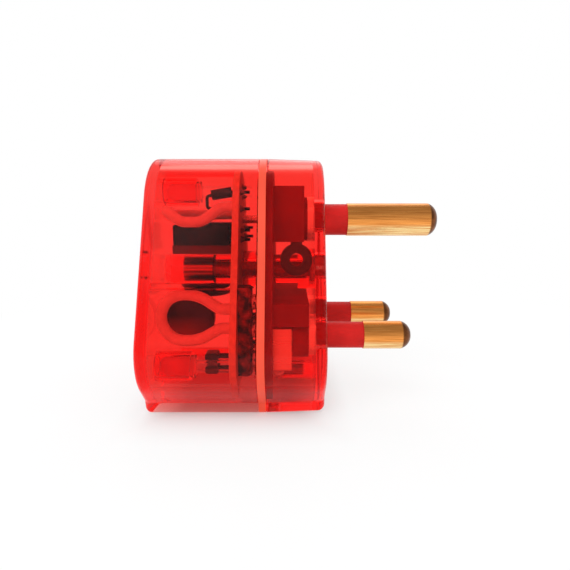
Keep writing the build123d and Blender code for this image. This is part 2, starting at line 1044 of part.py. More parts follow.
with BuildPart() as upper_wire:
    upper_wire_back_x = -upper_wire_back
    near_rise = upper_wire_rise + upper_wire_near_climb
    dip_rise = upper_wire_rise - dip_drop
    crest_rise = upper_wire_rise + wire_crest_climb
    bent_tube(
        [
            (board_back_x, upper_wire_near, near_rise),
            (board_back_x - upper_wire_near_run, upper_wire_near, near_rise),
            (-dip_front, upper_wire_near, dip_rise),
            (-dip_back, upper_wire_near, dip_rise),
            (upper_wire_back_x, wire_crest_side, crest_rise),
            (upper_wire_back_x, crossing_side, upper_wire_rise),
            (upper_wire_back_x, upper_wire_far, upper_wire_rise),
            (board_back_x, upper_wire_far, upper_wire_rise),
        ],
        [
            upper_wire_near_bend,
            dip_bend,
            wire_crest_bend,
            crossing_bend,
            upper_wire_far_bend,
            upper_wire_far_bend,
        ],
        upper_wire_radius,
    )
save(upper_wire, "upper_wire")

with BuildPart() as lower_wire:
    loop_neck_x = board_back_x - loop_run
    loop_upper_hole = loop_middle + loop_hole_pitch / 2
    loop_lower_hole = loop_middle - loop_hole_pitch / 2
    bent_tube(
        [
            (board_back_x, loop_side, loop_upper_hole),
            (loop_neck_x, loop_side, loop_upper_hole),
            (-loop_front, loop_side, loop_top),
            (-loop_back, loop_side, loop_top),
            (-loop_back, loop_side, loop_bottom),
            (-loop_front, loop_side, loop_bottom),
            (loop_neck_x, loop_side, loop_lower_hole),
            (board_back_x, loop_side, loop_lower_hole),
        ],
        [loop_hole_bend, loop_neck_bend, loop_bend, loop_bend, loop_neck_bend, loop_hole_bend],
        lower_wire_radius,
    )
save(lower_wire, "lower_wire")


# Tinned earth tag under the earth terminal

with BuildPart() as earth_tag:
    tag_plane = Plane(
        origin=(-tag_centre, tag_near + tag_thickness, tag_rise),
        x_dir=(1, 0, 0),
        z_dir=(0, -1, 0),
    )
    tag_stem_top = earth_rise - earth_block_bottom - tag_rise
    with BuildSketch(tag_plane) as tag_face:
        Circle(tag_radius)
        with Locations((0, tag_stem_top / 2)):
            Rectangle(tag_stem_width, tag_stem_top)
        Circle(tag_hole_radius, mode=Mode.SUBTRACT)
    extrude(tag_face.sketch, amount=tag_thickness)
save(earth_tag, "earth_tag")


# Cover screw and its brass insert

with BuildPart() as cover_screw:
    head_back_x = -screw_sink - screw_head_height
    rod(head_back_x, -screw_sink, 0, pillar_rise, screw_head_radius)
    rod(
        -pillar_joint - insert_length + screw_end_gap,
        head_back_x,
        0,
        pillar_rise,
        screw_radius,
    )
    slab(
        -screw_sink - screw_slot_depth,
        -screw_sink,
        -screw_head_radius,
        screw_head_radius,
        pillar_rise - screw_slot_width / 2,
        pillar_rise + screw_slot_width / 2,
        mode=Mode.SUBTRACT,
    )
save(cover_screw, "cover_screw")

with BuildPart() as cover_insert:
    rod(-pillar_joint - insert_length, -pillar_joint, 0, pillar_rise, insert_radius)
    rod(
        -pillar_joint - insert_length,
        -pillar_joint,
        0,
        pillar_rise,
        screw_radius + slip_gap / 2,
        mode=Mode.SUBTRACT,
    )
save(cover_insert, "cover_insert")


# Cord grip bar and its two screws

grip_front_x = seam_middle_x - cord_hole_radius
grip_back_x = grip_front_x - grip_bar_thickness
with BuildPart() as cord_grip:
    slab(
        grip_back_x,
        grip_front_x,
        -grip_bar_half_width,
        grip_bar_half_width,
        -saddle_bottom,
        -saddle_top,
    )
    fillet(cord_grip.edges().filter_by(Axis.X), grip_bar_edge_radius)
    for side in (-1, 1):
        rod(
            grip_back_x,
            grip_front_x,
            side * grip_screw_spacing / 2,
            grip_rise,
            grip_screw_radius + slip_gap,
            mode=Mode.SUBTRACT,
        )
save(cord_grip, "cord_grip")

with BuildPart() as grip_screws:
    for side in (-1, 1):
        screw_y = side * grip_screw_spacing / 2
        rod(
            grip_back_x,
            saddle_back_x + grip_screw_depth,
            screw_y,
            grip_rise,
            grip_screw_radius,
        )
        rod(grip_back_x - grip_head_height, grip_back_x, screw_y, grip_rise, grip_head_radius)
        slab(
            grip_back_x - grip_head_height,
            grip_back_x - grip_head_height / 2,
            screw_y - grip_head_radius,
            screw_y + grip_head_radius,
            grip_rise - clamp_slot_width / 2,
            grip_rise + clamp_slot_width / 2,
            mode=Mode.SUBTRACT,
        )
save(grip_screws, "grip_screws")
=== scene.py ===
import json
from math import cos, pi, radians, sin

import bpy
import numpy as np
from bpy.props import FloatProperty, FloatVectorProperty, IntProperty, PointerProperty
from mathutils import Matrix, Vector

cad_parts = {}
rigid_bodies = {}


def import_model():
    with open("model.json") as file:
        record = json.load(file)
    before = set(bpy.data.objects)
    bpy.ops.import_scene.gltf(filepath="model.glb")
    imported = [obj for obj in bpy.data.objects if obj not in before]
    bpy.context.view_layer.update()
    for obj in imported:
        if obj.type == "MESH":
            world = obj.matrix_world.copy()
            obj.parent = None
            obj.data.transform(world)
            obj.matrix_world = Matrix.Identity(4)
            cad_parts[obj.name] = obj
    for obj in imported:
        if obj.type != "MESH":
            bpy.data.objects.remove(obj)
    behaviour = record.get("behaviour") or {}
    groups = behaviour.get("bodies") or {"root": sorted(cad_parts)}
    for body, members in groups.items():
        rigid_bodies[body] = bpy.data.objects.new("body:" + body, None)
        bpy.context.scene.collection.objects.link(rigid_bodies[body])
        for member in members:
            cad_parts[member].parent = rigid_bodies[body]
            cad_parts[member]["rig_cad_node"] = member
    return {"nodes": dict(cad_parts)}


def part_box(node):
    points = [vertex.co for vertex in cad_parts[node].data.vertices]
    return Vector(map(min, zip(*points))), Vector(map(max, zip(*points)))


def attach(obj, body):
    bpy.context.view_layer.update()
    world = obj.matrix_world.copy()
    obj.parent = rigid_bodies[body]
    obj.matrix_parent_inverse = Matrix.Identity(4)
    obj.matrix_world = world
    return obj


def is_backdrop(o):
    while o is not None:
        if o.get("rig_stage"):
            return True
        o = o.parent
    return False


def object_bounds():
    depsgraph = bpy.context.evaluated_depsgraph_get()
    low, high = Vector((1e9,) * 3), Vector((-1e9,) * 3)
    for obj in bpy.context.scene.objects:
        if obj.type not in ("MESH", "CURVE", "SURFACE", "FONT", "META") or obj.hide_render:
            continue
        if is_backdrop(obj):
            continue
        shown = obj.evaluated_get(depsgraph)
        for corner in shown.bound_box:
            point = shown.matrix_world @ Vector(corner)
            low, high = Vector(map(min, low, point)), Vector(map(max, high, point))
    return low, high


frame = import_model()

bl_info = {
    "name": "Round-pin plug looks",
    "version": (1, 0, 0),
    "blender": (4, 5, 0),
    "location": "View3D > Sidebar > Plug",
    "description": "Finishes for a clear red rewireable plug, and the stage it stands on",
    "category": "Object",
}

MM = 0.001
WHITE = (1.0, 1.0, 1.0)
BLACK = (0.0, 0.0, 0.0)

# Sockets of the Mix node, by number because several share a name
MIX_FACTOR = 0
MIX_NUMBERS = (2, 3)
MIX_COLOURS = (6, 7)
MIX_NUMBER_OUT = 0
MIX_COLOUR_OUT = 2

# Nodes that share a finish
SLEEVES = ("earth_sleeve", "line_sleeve", "neutral_sleeve")
LINKS = ("earth_link", "line_link", "neutral_link")
SCREWS = (
    "cover_screw",
    "grip_screws",
    "strip_screws",
    "earth_terminal_screw",
    "line_terminal_screw",
    "neutral_terminal_screw",
)

# Pins: height of the axis and radius. The flange at the root glows between its back and its
# front, each given as the X at which the glow starts and the X at which it is full.
PINS = {
    "earth_pin": (28.58 * MM, 4.35 * MM),
    "line_pin": (0.0, 3.525 * MM),
    "neutral_pin": (0.0, 3.525 * MM),
}
FLANGE_FRONT = (-2.3 * MM, -2.5 * MM)
FLANGE_BACK = (-4.3 * MM, -4.1 * MM)

# Brass: how far below the axis it is painted bright, as a painted reflection of the floor, in
# radii, then where each change of colour starts and ends: about that height, about the face at X =
# 0 and about the start of the nose
FLOOR_REFLECTION_DROP = 0.35
FLOOR_REFLECTION_EDGE = (0.5 * MM, -0.3 * MM)
ROOT_EDGE = (0.0, -0.5 * MM)
NOSE_EDGE = (-0.1 * MM, 0.3 * MM)

# Stretch of the noise for streaks brushed along X and for fibres laid along Y
BRUSHED_ALONG_X = (0.04, 1.0, 1.0)
FIBRES_ALONG_Y = (1.0, 0.25, 1.0)

# Tracks of the board: bricks, some tinned and some bare, with bare joints, then how squarely a
# face has to look along X for the tracks to start and to show in full
TRACKS = {
    "Scale": 120.0,
    "Mortar Size": 0.05,
    "Color1": WHITE,
    "Color2": BLACK,
    "Mortar": BLACK,
    "Bias": -0.2,
}
TRACK_SIDE = (0.7, 0.9)

# Painted reflection of the red plastic round the upright disc, towards its lower rear edge, as
# shares of the disc's
# height and depth: where it starts from the middle, and where it is full from the low end
REFLECTION_DOWN = (0.05, 0.25)
REFLECTION_BACK = (0.25, 0.25)

# Thread: wall of the insert outside it, its distance from the screw's end, how far its foot is
# sunk in the shank as a share of its height, and the share of that height left at its ends
INSERT_WALL = 0.8 * MM
THREAD_START = 0.2 * MM
THREAD_SINK = 0.3
THREAD_TIP = 0.02

# Floor: how far it is lifted towards white in the open and under the housing, the edge between
# them in half widths of the housing, and the share of the fade at which plain white sets in
FLOOR_LIFT = 0.8
SHADOW_LIFT = 0.18
SHADOW_EDGE = (0.6, 1.3)
FADE_START = 0.4

# Dome that glossy rays see: the heights over which it darkens, its strength overhead, half the
# width of its change from near to far, and its strength on the near side. Its radius is 1.
DOME_RISE = (0.36, 0.75)
DOME_TOP = 0.38
DOME_TURN = 0.3
DOME_NEAR = 0.6

# Lamps and camera
MAIN_LAMP = {"size": 0.45, "azimuth": -35.0, "elevation": 48.0, "distance": 0.7}
BACK_LAMP = {"size": 0.5, "azimuth": 180.0, "elevation": 45.0, "distance": 0.7}
BACK_LAMP_SHARE = 0.6
CAMERA_AIM = (-9.75 * MM, 0.0, 10.66 * MM)


# Sizes and colours that a user would change


def colour(name, description, default):
    """A colour property."""
    return FloatVectorProperty(
        name=name,
        description=description,
        default=default,
        size=3,
        min=0.0,
        max=1.0,
        subtype="COLOR",
    )


def share(name, description, default):
    """A property for a share, from 0 to 1."""
    return FloatProperty(
        name=name,
        description=description,
        default=default,
        min=0.0,
        max=1.0,
        subtype="FACTOR",
    )


def metres(name, description, default, low=0.0):
    """A length property, no smaller than that low end."""
    return FloatProperty(
        name=name,
        description=description,
        default=default,
        min=low,
        unit="LENGTH",
        subtype="DISTANCE",
    )


class HousingSettings(bpy.types.PropertyGroup):
    """The clear shells and the gasket between them."""

    tint: colour(
        "Shell tint", "Colour that one wall of the shell lets through", (1.0, 0.215, 0.185)
    )
    tint_deep: colour("Deep tint", "Colour of the cloudier patches of a shell", (1.0, 0.19, 0.16))
    depth_colour: colour("Depth colour", "Colour that thick plastic turns to", (1.0, 0.06, 0.05))
    density: FloatProperty(
        name="Depth density",
        description="How fast thick plastic takes its depth colour, for each metre",
        default=60.0,
        min=0.0,
    )
    ior: FloatProperty(
        name="Index of refraction",
        description="Index of refraction of the plastic",
        default=1.22,
        min=1.0,
        max=2.0,
    )
    roughness: share("Shell roughness", "Roughness of the polished plastic", 0.10)
    ripple: metres(
        "Ripple height", "Height of the slow ripples that moulding leaves on the walls", 0.06 * MM
    )
    seam: colour("Seam", "Colour of the milky gasket", (0.85, 0.082, 0.036))
    seam_light: share(
        "Seam light", "Light that the gasket gathers from the clear halves and gives off", 0.18
    )


class PinSettings(bpy.types.PropertyGroup):
    """The brass pins and their sleeves."""

    # Under each pin this colour is a painted reflection of the floor; the knurled insert takes it
    # as its own colour
    brass: colour("Brass", "Colour of the brass rubbed bright under a pin", (1.0, 0.74, 0.34))
    warm_brass: colour(
        "Warm brass", "Colour of the brass over the rest of a pin", (1.0, 0.39, 0.09)
    )
    worn_brass: colour("Worn brass", "Colour of the streaks along a pin", (0.70, 0.24, 0.05))
    nose_brass: colour("Nose brass", "Colour of the tarnished nose", (0.16, 0.055, 0.018))
    tinned_root: colour(
        "Tinned root", "Colour of the tinned root behind the face", (0.98, 0.88, 0.74)
    )
    flange_light: share(
        "Flange light",
        "Light that the flanges of the pins gather from the clear face they bear on",
        0.07,
    )
    roughness: share("Brass roughness", "Roughness of the brushed brass", 0.30)
    nose_length: metres("Nose length", "Length of the tarnished nose of each pin", 2.3 * MM)
    sleeve: colour("Sleeve", "Colour of the moulded sleeves", (0.62, 0.016, 0.014))
    sleeve_light: share(
        "Sleeve light", "Light that the sleeves gather from the clear shell round their roots", 0.10
    )


class InsideSettings(bpy.types.PropertyGroup):
    """The carrier, the board and what stands on it."""

    carrier: colour("Carrier", "Colour of the carrier and the grip bar", (0.42, 0.014, 0.014))
    board: colour("Board", "Colour of the bare board", (0.98, 0.80, 0.52))
    track: colour("Track", "Colour of the tinned tracks", (0.62, 0.60, 0.55))
    case: colour("Filter case", "Colour of the filter case", (0.005, 0.005, 0.006))
    tray: colour("Filter tray", "Colour of the tray under the case", (0.13, 0.008, 0.010))
    varistor: colour("Varistor", "Colour of the dipped discs", (0.02, 0.03, 0.09))
    # Painted reflection: the upright disc is painted in this colour towards its lower rear edge,
    # for the red plastic that its gloss mirrors
    disc_reflection: colour(
        "Thin dip", "Colour of the upright disc where its dip ran thin", (0.34, 0.10, 0.08)
    )
    bead: colour("Bead", "Colour of the bead capacitors", (0.035, 0.014, 0.008))
    wire: colour("Wire", "Colour of the wires' insulation", (1.0, 0.97, 0.92))
    lamp: colour("Lamp", "Colour of the lamps' clear lenses", (1.0, 0.98, 0.95))
    strip: colour("Terminal strip", "Colour of the terminal strip", (0.42, 0.05, 0.04))


class MetalSettings(bpy.types.PropertyGroup):
    """The screws, the links, the tag and the solder."""

    zinc: colour("Zinc", "Colour of the plated screws", (0.92, 0.91, 0.89))
    tinned: colour("Tinned copper", "Colour of the links to the board", (0.80, 0.76, 0.70))
    tag: colour("Tag", "Colour of the tarnished ring tag", (0.16, 0.13, 0.12))
    solder: colour("Solder", "Colour of the solder joints", (0.30, 0.29, 0.29))


class ThreadSettings(bpy.types.PropertyGroup):
    """The thread that shows on the cover screw through the clear pillar."""

    pitch: metres("Pitch", "Distance between neighbouring turns of the thread", 0.7 * MM, 0.1 * MM)
    height: metres("Height", "How far the thread stands out of the shank", 0.16 * MM, 0.01 * MM)
    length: metres(
        "Threaded length", "Length of the thread, back from the end of the screw", 20.0 * MM, MM
    )
    steps: IntProperty(
        name="Steps for a turn",
        description="Steps round each turn of the thread",
        default=40,
        min=12,
        max=96,
    )


class StageSettings(bpy.types.PropertyGroup):
    """The floor, the lamps and the camera."""

    floor_size: metres("Floor size", "Width of the floor", 6.0, 0.5)
    floor_fade: metres(
        "Floor fade", "Distance at which the floor has turned to plain white", 0.16, 0.05
    )
    camera_distance: metres(
        "Camera distance", "Distance of the camera from the point it looks at", 0.140, 0.05
    )
    camera_elevation: FloatProperty(
        name="Camera elevation",
        description="Height of the camera above the level, as an angle",
        default=radians(9.7),
        unit="ROTATION",
        subtype="ANGLE",
    )
    lens: FloatProperty(
        name="Lens",
        description="Focal length for a 36 mm wide picture",
        default=32.02,
        min=10.0,
        unit="CAMERA",
        subtype="DISTANCE_CAMERA",
    )
    lamp_power: FloatProperty(
        name="Lamp power",
        description="Power of the main lamp",
        default=1.2,
        min=0.0,
        unit="POWER",
    )
    sky: FloatProperty(
        name="Sky strength",
        description="Strength of the plain light from all round",
        default=0.95,
        min=0.0,
    )


SETTINGS = {
    "plug_housing": HousingSettings,
    "plug_pins": PinSettings,
    "plug_inside": InsideSettings,
    "plug_metal": MetalSettings,
    "plug_thread": ThreadSettings,
    "plug_stage": StageSettings,
}


# Node helpers. Where one takes a material, the world does as well.


def new_finish(name):
    """A new node material and its Principled shader."""
    material = bpy.data.materials.new(name)
    material.use_nodes = True
    return material, material.node_tree.nodes["Principled BSDF"]


def fill(node, key, value):
    """Links an input of a node to that output, or sets it to that plain number or colour."""
    socket = node.inputs[key]
    if isinstance(value, bpy.types.NodeSocket):
        node.id_data.links.new(value, socket)
    elif socket.type == "RGBA":
        socket.default_value = (*value, 1.0)
    else:
        socket.default_value = value


def coordinates(material, scale=(1.0, 1.0, 1.0)):
    """Object coordinates, stretched by a Mapping node."""
    nodes = material.node_tree.nodes
    place = nodes.new("ShaderNodeTexCoord")
    mapping = nodes.new("ShaderNodeMapping")
    fill(mapping, "Scale", scale)
    fill(mapping, "Vector", place.outputs["Object"])
    return mapping.outputs["Vector"]


def along(material, axis):
    """The Object coordinate along one axis, in metres."""
    split = material.node_tree.nodes.new("ShaderNodeSeparateXYZ")
    fill(split, "Vector", coordinates(material))
    return split.outputs[axis]


def facing(material, axis):
    """How squarely the surface looks along one axis, from -1 to 1."""
    nodes = material.node_tree.nodes
    place = nodes.new("ShaderNodeTexCoord")
    split = nodes.new("ShaderNodeSeparateXYZ")
    fill(split, "Vector", place.outputs["Normal"])
    return split.outputs[axis]


def mottle(material, lumps, detail=3.0, stretch=(1.0, 1.0, 1.0)):
    """Noise with that many lumps to the metre, between 0 and 1."""
    noise = material.node_tree.nodes.new("ShaderNodeTexNoise")
    fill(noise, "Scale", lumps)
    fill(noise, "Detail", detail)
    fill(noise, "Vector", coordinates(material, stretch))
    return noise.outputs[0]


def ramp(material, factor, *stops):
    """A colour ramp with (position, colour) stops."""
    node = material.node_tree.nodes.new("ShaderNodeValToRGB")
    for element, (position, stop) in zip(node.color_ramp.elements, stops, strict=True):
        element.position = position
        element.color = (*stop, 1.0)
    fill(node, "Fac", factor)
    return node.outputs["Color"]


def span(material, value, low, high, to_low=0.0, to_high=1.0):
    """A value carried from one range to another, held at both ends."""
    node = material.node_tree.nodes.new("ShaderNodeMapRange")
    fill(node, "From Min", low)
    fill(node, "From Max", high)
    fill(node, "To Min", to_low)
    fill(node, "To Max", to_high)
    fill(node, "Value", value)
    return node.outputs["Result"]


def mix(material, factor, first, second):
    """Two colours mixed by a factor. Each is a socket or a plain value."""
    node = material.node_tree.nodes.new("ShaderNodeMix")
    node.data_type = "RGBA"
    fill(node, MIX_FACTOR, factor)
    for key, value in zip(MIX_COLOURS, (first, second)):
        fill(node, key, value)
    return node.outputs[MIX_COLOUR_OUT]


def blend_number(material, factor, first, second):
    """Two numbers mixed by a factor. Each is a socket or a plain number."""
    node = material.node_tree.nodes.new("ShaderNodeMix")
    fill(node, MIX_FACTOR, factor)
    for key, value in zip(MIX_NUMBERS, (first, second)):
        fill(node, key, value)
    return node.outputs[MIX_NUMBER_OUT]


def join(material, operation, first, second=0.0):
    """Two numbers joined by a sum, product or the like. Each is a socket or a plain number."""
    node = material.node_tree.nodes.new("ShaderNodeMath")
    node.operation = operation
    for key, value in enumerate((first, second)):
        fill(node, key, value)
    return node.outputs["Value"]


def paint(material, shader, factor, *stops):
    """Colours the surface by a ramp with (position, colour) stops."""
    fill(shader, "Base Color", ramp(material, factor, *stops))


def glow(shader, light, strength):
    """Light that a surface gathers from the clear plastic on it and gives off again."""
    fill(shader, "Emission Color", light)
    fill(shader, "Emission Strength", strength)


def bump(material, shader, height, distance):
    """Tilts the surface by a height map whose full range is that distance."""
    node = material.node_tree.nodes.new("ShaderNodeBump")
    fill(node, "Strength", 1.0)
    fill(node, "Distance", distance)
    fill(node, "Height", height)
    fill(shader, "Normal", node.outputs["Normal"])


def shade(base, factor):
    """A colour made darker or lighter by a factor."""
    return tuple(min(1.0, c * factor) for c in base)


def wear(material, *nodes):
    """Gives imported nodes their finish."""
    for node in nodes:
        frame["nodes"][node].material_slots[0].material = material


# Finishes


def clear_plastic(name, settings):
    """Clear moulded plastic: a tint at each face, a deeper colour with depth, and slow ripples."""
    material, shader = new_finish(name)
    nodes = material.node_tree.nodes
    fill(shader, "Transmission Weight", 1.0)
    fill(shader, "IOR", settings.ior)
    fill(shader, "Roughness", settings.roughness)
    patches = mottle(material, lumps=60.0, detail=2.0)
    paint(material, shader, patches, (0.35, settings.tint_deep), (0.65, settings.tint))
    bump(material, shader, mottle(material, lumps=90.0, detail=1.0), settings.ripple)
    depth = nodes.new("ShaderNodeVolumeAbsorption")
    fill(depth, "Color", settings.depth_colour)
    fill(depth, "Density", settings.density)
    fill(nodes["Material Output"], "Volume", depth.outputs["Volume"])
    return material


def milky_plastic(name, base, light):
    """Soft plastic that lets a little light through, scatters the rest and glows faintly."""
    material, shader = new_finish(name)
    clouds = mottle(material, lumps=120.0, detail=2.0)
    paint(material, shader, clouds, (0.3, shade(base, 0.9)), (0.7, base))
    fill(shader, "Transmission Weight", 0.2)
    fill(shader, "IOR", 1.4)
    fill(shader, "Roughness", 0.35)
    glow(shader, shade(base, 1.15), light)
    bump(material, shader, clouds, 0.03 * MM)
    return material


def moulded(name, base, roughness, gloss, contrast=0.8, lumps=180.0):
    """Opaque moulded plastic with a faint mottle and a fine grain."""
    material, shader = new_finish(name)
    fill(shader, "Specular IOR Level", gloss)
    paint(material, shader, mottle(material, lumps), (0.4, shade(base, contrast)), (0.65, base))
    grain = mottle(material, lumps=900.0, detail=2.0)
    rough = span(material, grain, 0.2, 0.8, roughness * 0.85, roughness * 1.15)
    fill(shader, "Roughness", rough)
    bump(material, shader, grain, 0.02 * MM)
    return material


def glowing_sleeve(name, settings):
    """The satin plastic of the sleeves, with the light they gather at their roots."""
    material = moulded(name, settings.sleeve, roughness=0.5, gloss=0.12)
    glow(material.node_tree.nodes["Principled BSDF"], settings.sleeve, settings.sleeve_light)
    return material


def plated(name, base, roughness, metal=1.0):
    """Plated or tinned metal with fine scuffs. A lower metal share makes the plating chalky."""
    material, shader = new_finish(name)
    fill(shader, "Metallic", metal)
    scuffs = mottle(material, lumps=1400.0, detail=4.0)
    paint(material, shader, scuffs, (0.3, shade(base, 0.7)), (0.6, base))
    rough = span(material, scuffs, 0.2, 0.8, roughness * 1.3, roughness * 0.8)
    fill(shader, "Roughness", rough)
    bump(material, shader, scuffs, 0.01 * MM)
    return material


def turned_brass(pin, settings):
    """Brass brushed along the pin, painted bright underneath as a painted reflection of the floor.

    The nose is tarnished, the root is tinned, and the flange at the root glows faintly.
    """
    material, shader = new_finish(pin + "_brass")
    fill(shader, "Metallic", 1.0)
    streaks = mottle(material, lumps=2600.0, detail=5.0, stretch=BRUSHED_ALONG_X)
    axis_height, radius = PINS[pin]
    under = axis_height - FLOOR_REFLECTION_DROP * radius
    edge = [under + step for step in FLOOR_REFLECTION_EDGE]
    # Painted reflection of the floor: below that height the brass is painted bright
    floor_reflected = mix(
        material, span(material, along(material, "Z"), *edge), settings.warm_brass, settings.brass
    )
    body = mix(material, span(material, streaks, 0.34, 0.60), settings.worn_brass, floor_reflected)
    root = span(material, along(material, "X"), *ROOT_EDGE)
    body = mix(material, root, body, settings.tinned_root)
    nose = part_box(pin)[1].x - settings.nose_length
    edge = [nose + step for step in NOSE_EDGE]
    spots = ramp(
        material,
        mottle(material, lumps=500.0),
        (0.35, shade(settings.nose_brass, 0.7)),
        (0.7, shade(settings.nose_brass, 1.6)),
    )
    tarnish = span(material, along(material, "X"), *edge)
    fill(shader, "Base Color", mix(material, tarnish, body, spots))
    ahead = span(material, along(material, "X"), *FLANGE_BACK)
    behind = span(material, along(material, "X"), *FLANGE_FRONT)
    flange = join(material, "MULTIPLY", ahead, behind)
    lit = shade(settings.tinned_root, settings.flange_light)
    glow(shader, mix(material, flange, BLACK, lit), 1.0)
    rough = settings.roughness
    fill(shader, "Roughness", span(material, streaks, 0.25, 0.75, rough * 1.3, rough * 0.75))
    bump(material, shader, streaks, 0.015 * MM)
    return material


def laminate(name, board, track):
    """A paper board with tinned tracks on the side that faces the pins."""
    material, shader = new_finish(name)
    nodes = material.node_tree.nodes
    fibres = mottle(material, lumps=700.0, detail=4.0, stretch=FIBRES_ALONG_Y)
    bare = ramp(material, fibres, (0.3, shade(board, 0.82)), (0.7, board))
    upright = nodes.new("ShaderNodeCombineXYZ")
    fill(upright, "X", along(material, "Z"))
    fill(upright, "Y", along(material, "Y"))
    lanes = nodes.new("ShaderNodeTexBrick")
    for key, value in TRACKS.items():
        fill(lanes, key, value)
    fill(lanes, "Vector", upright.outputs["Vector"])
    front = span(material, facing(material, "X"), *TRACK_SIDE)
    tinned = join(material, "MULTIPLY", lanes.outputs["Color"], front)
    fill(shader, "Base Color", mix(material, tinned, bare, track))
    fill(shader, "Roughness", 0.5)
    bump(material, shader, fibres, 0.02 * MM)
    return material


def dipped(name, base):
    """Thick dipped epoxy: glossy, with slow lumps."""
    material, shader = new_finish(name)
    lumps = mottle(material, lumps=350.0, detail=2.0)
    paint(material, shader, lumps, (0.3, shade(base, 0.7)), (0.7, shade(base, 1.25)))
    fill(shader, "Roughness", 0.28)
    bump(material, shader, lumps, 0.1 * MM)
    return material


def reflecting_dip(name, base, reflection_colour, node):
    """The dipped finish, painted in a second colour towards the lower rear edge of that node, as a
    painted reflection of the red plastic round it.
    """
    material = dipped(name, base)
    low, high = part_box(node)
    middle = (low + high) / 2
    size = high - low
    start, full = REFLECTION_DOWN
    edge = (middle.z + start * size.z, low.z + full * size.z)
    down = span(material, along(material, "Z"), *edge)
    start, full = REFLECTION_BACK
    edge = (middle.x + start * size.x, low.x + full * size.x)
    back = span(material, along(material, "X"), *edge)
    shader = material.node_tree.nodes["Principled BSDF"]
    dark = shader.inputs["Base Color"].links[0].from_socket
    # Painted reflection of the red plastic round the disc, mixed in towards its lower rear edge
    reflecting = mix(material, join(material, "MULTIPLY", down, back), dark, reflection_colour)
    fill(shader, "Base Color", reflecting)
    return material


def soft_insulation(name, base):
    """Soft wire insulation, faintly grimy, with a fine grain."""
    material, shader = new_finish(name)
    grime = mottle(material, lumps=450.0)
    paint(material, shader, grime, (0.25, shade(base, 0.86)), (0.65, base))
    fill(shader, "Roughness", 0.42)
    bump(material, shader, mottle(material, lumps=1600.0, detail=2.0), 0.01 * MM)
    return material


def knurled_brass(name, base):
    """Brass with a straight knurl along its axis, which grips the plastic round it."""
    material, shader = new_finish(name)
    fill(shader, "Metallic", 1.0)
    fill(shader, "Roughness", 0.35)
    wave = material.node_tree.nodes.new("ShaderNodeTexWave")
    wave.bands_direction = "Z"
    fill(wave, "Scale", 260.0)
    fill(wave, "Vector", coordinates(material))
    ridges = wave.outputs["Fac"]
    paint(material, shader, ridges, (0.2, shade(base, 0.6)), (0.8, base))
    bump(material, shader, ridges, 0.1 * MM)
    return material


def cast_lens(name, base):
    """The clear cast body of a lamp, faintly cloudy."""
    material, shader = new_finish(name)
    haze = mottle(material, lumps=300.0, detail=2.0)
    paint(material, shader, haze, (0.3, shade(base, 0.92)), (0.7, base))
    fill(shader, "Transmission Weight", 0.95)
    fill(shader, "IOR", 1.15)
    fill(shader, "Roughness", 0.25)
    return material


# Surfaces


def grid_mesh(name, points, material):
    """A closed mesh piece from a grid of points of shape (rows, columns, 3).

    Columns wrap round into a ring. The first and last rows are closed by a fan to their middle.
    """
    rows, columns = points.shape[:2]
    ends = np.stack([points[0].mean(axis=0), points[-1].mean(axis=0)])
    vertices = np.concatenate([points.reshape(-1, 3), ends])
    row, column = np.meshgrid(np.arange(rows - 1), np.arange(columns), indexing="ij")
    across = (column + 1) % columns
    quads = np.stack(
        [
            row * columns + column,
            row * columns + across,
            (row + 1) * columns + across,
            (row + 1) * columns + column,
        ],
        axis=-1,
    ).reshape(-1, 4)
    ring = np.arange(columns)
    after = (ring + 1) % columns
    last_row = (rows - 1) * columns
    first_middle = np.full(columns, rows * columns)
    last_middle = first_middle + 1
    first = np.stack([first_middle, after, ring], axis=-1)
    last = np.stack([last_middle, last_row + ring, last_row + after], axis=-1)
    mesh = bpy.data.meshes.new(name)
    mesh.from_pydata(vertices.tolist(), [], quads.tolist() + first.tolist() + last.tolist())
    mesh.polygons.foreach_set("use_smooth", np.ones(len(mesh.polygons), dtype=bool))
    mesh.materials.append(material)
    mesh.update()
    piece = bpy.data.objects.new(name, mesh)
    bpy.context.scene.collection.objects.link(piece)
    return piece


def thread_ridge(x_start, x_end, y, z, radius, settings):
    """The ridge of a thread, as a three-sided section carried along a helix about the X axis.

    At angle a the helix stands at x = start + pitch * a / 2 pi and at that radius from the axis.
    The section's foot is half a pitch wide and its crest stands out by the height, which fades to
    nearly nothing over the first and last half turn.
    """
    turns = (x_end - x_start) / settings.pitch
    steps = int(turns * settings.steps)
    angle = np.linspace(0.0, 2 * pi * turns, steps)
    middle = x_start + settings.pitch * angle / (2 * pi)
    fade = np.clip(np.minimum(angle, angle[-1] - angle) / pi, THREAD_TIP, 1.0)
    foot = np.full(steps, settings.pitch / 4)
    sunk = np.full(steps, radius - THREAD_SINK * settings.height)
    out = np.stack([sunk, sunk, radius + settings.height * fade], axis=1)
    shift = np.stack([-foot, foot, np.zeros(steps)], axis=1)
    x = middle[:, None] + shift
    turned_y = y + out * np.cos(angle)[:, None]
    turned_z = z + out * np.sin(angle)[:, None]
    return np.stack([x, turned_y, turned_z], axis=-1)


# Operators


class PLUG_OT_housing(bpy.types.Operator):
    """Give the two shells and the gasket their clear red plastic"""

    bl_idname = "plug.housing"
    bl_label = "Clear housing"

    def execute(self, context):
        settings = context.scene.plug_housing
        wear(clear_plastic("clear_red", settings), "front_shell", "rear_cover")
        wear(milky_plastic("seam_red", settings.seam, settings.seam_light), "seam_gasket")
        return {"FINISHED"}


